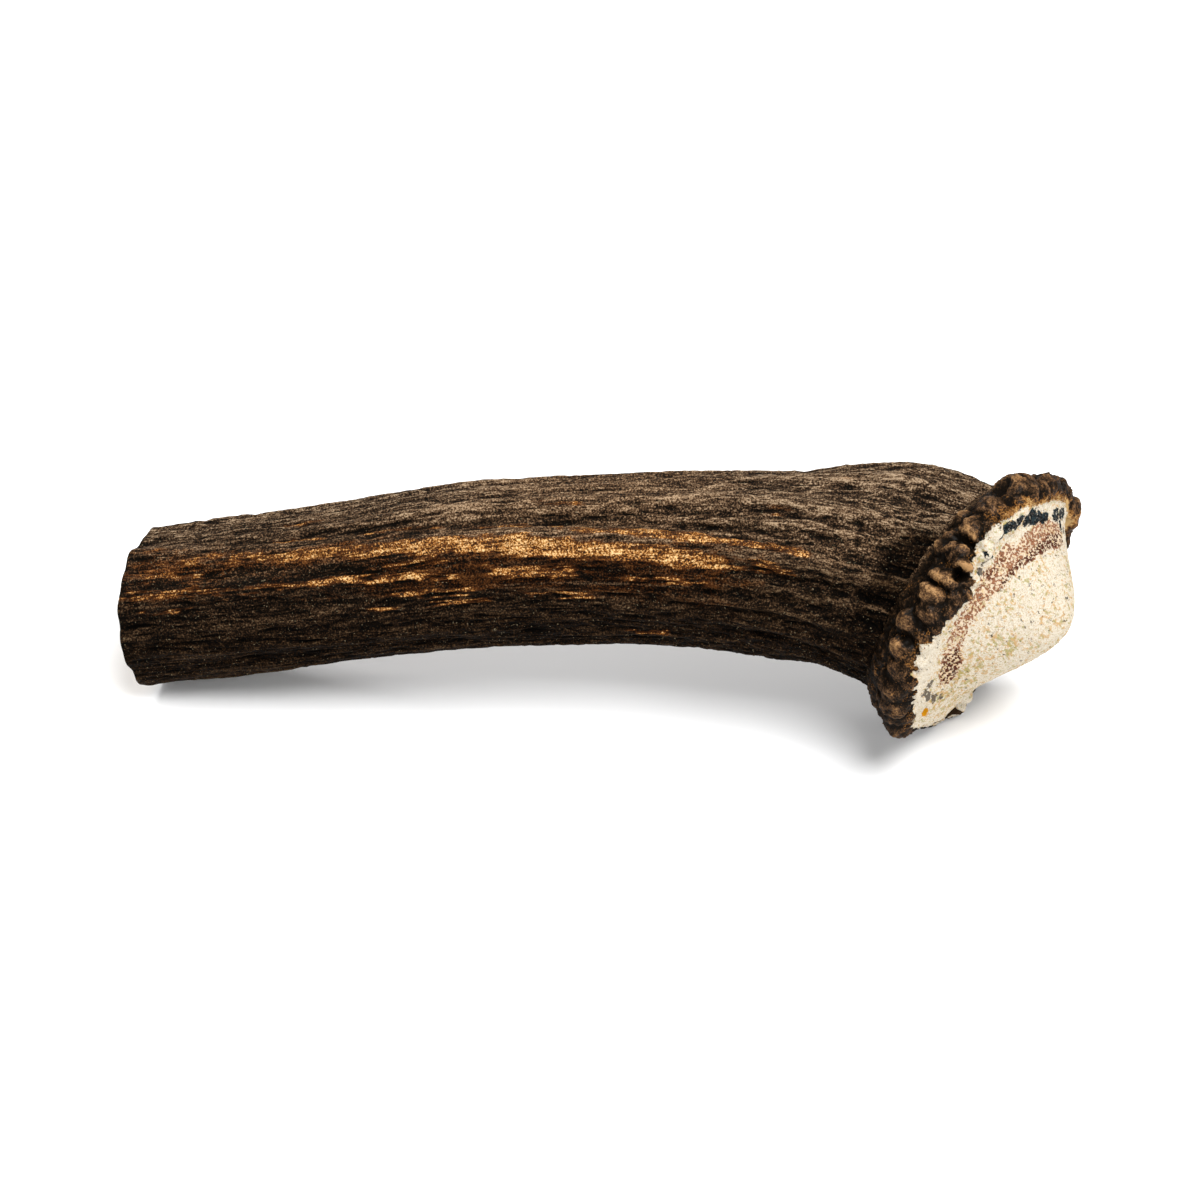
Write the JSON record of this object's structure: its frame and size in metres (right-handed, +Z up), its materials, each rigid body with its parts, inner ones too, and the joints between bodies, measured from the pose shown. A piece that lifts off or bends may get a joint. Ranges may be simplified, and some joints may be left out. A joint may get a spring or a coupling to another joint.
{
  "type": "deer antler base",
  "caption": "Base of a shed deer antler: ridged curved beam with a sawn end, lumpy burr and domed porous seal, for display, a dog chew or handle stock",
  "frame": {"origin": "the middle of the bounding box's footprint, on the surface that the antler lies on", "axes": "+Z up; +X along the antler, from the sawn end to the burr; -Y towards the side on which the seal shows"},
  "size_m": [0.1918, 0.0582, 0.0618],
  "materials": {
    "antler_bone": "weathered dark brown bone, worn golden on the ridges, cream and porous on the seal"
  },
  "bodies": {
    "root": {"antler": "antler_bone"}
  },
  "joints": []
}
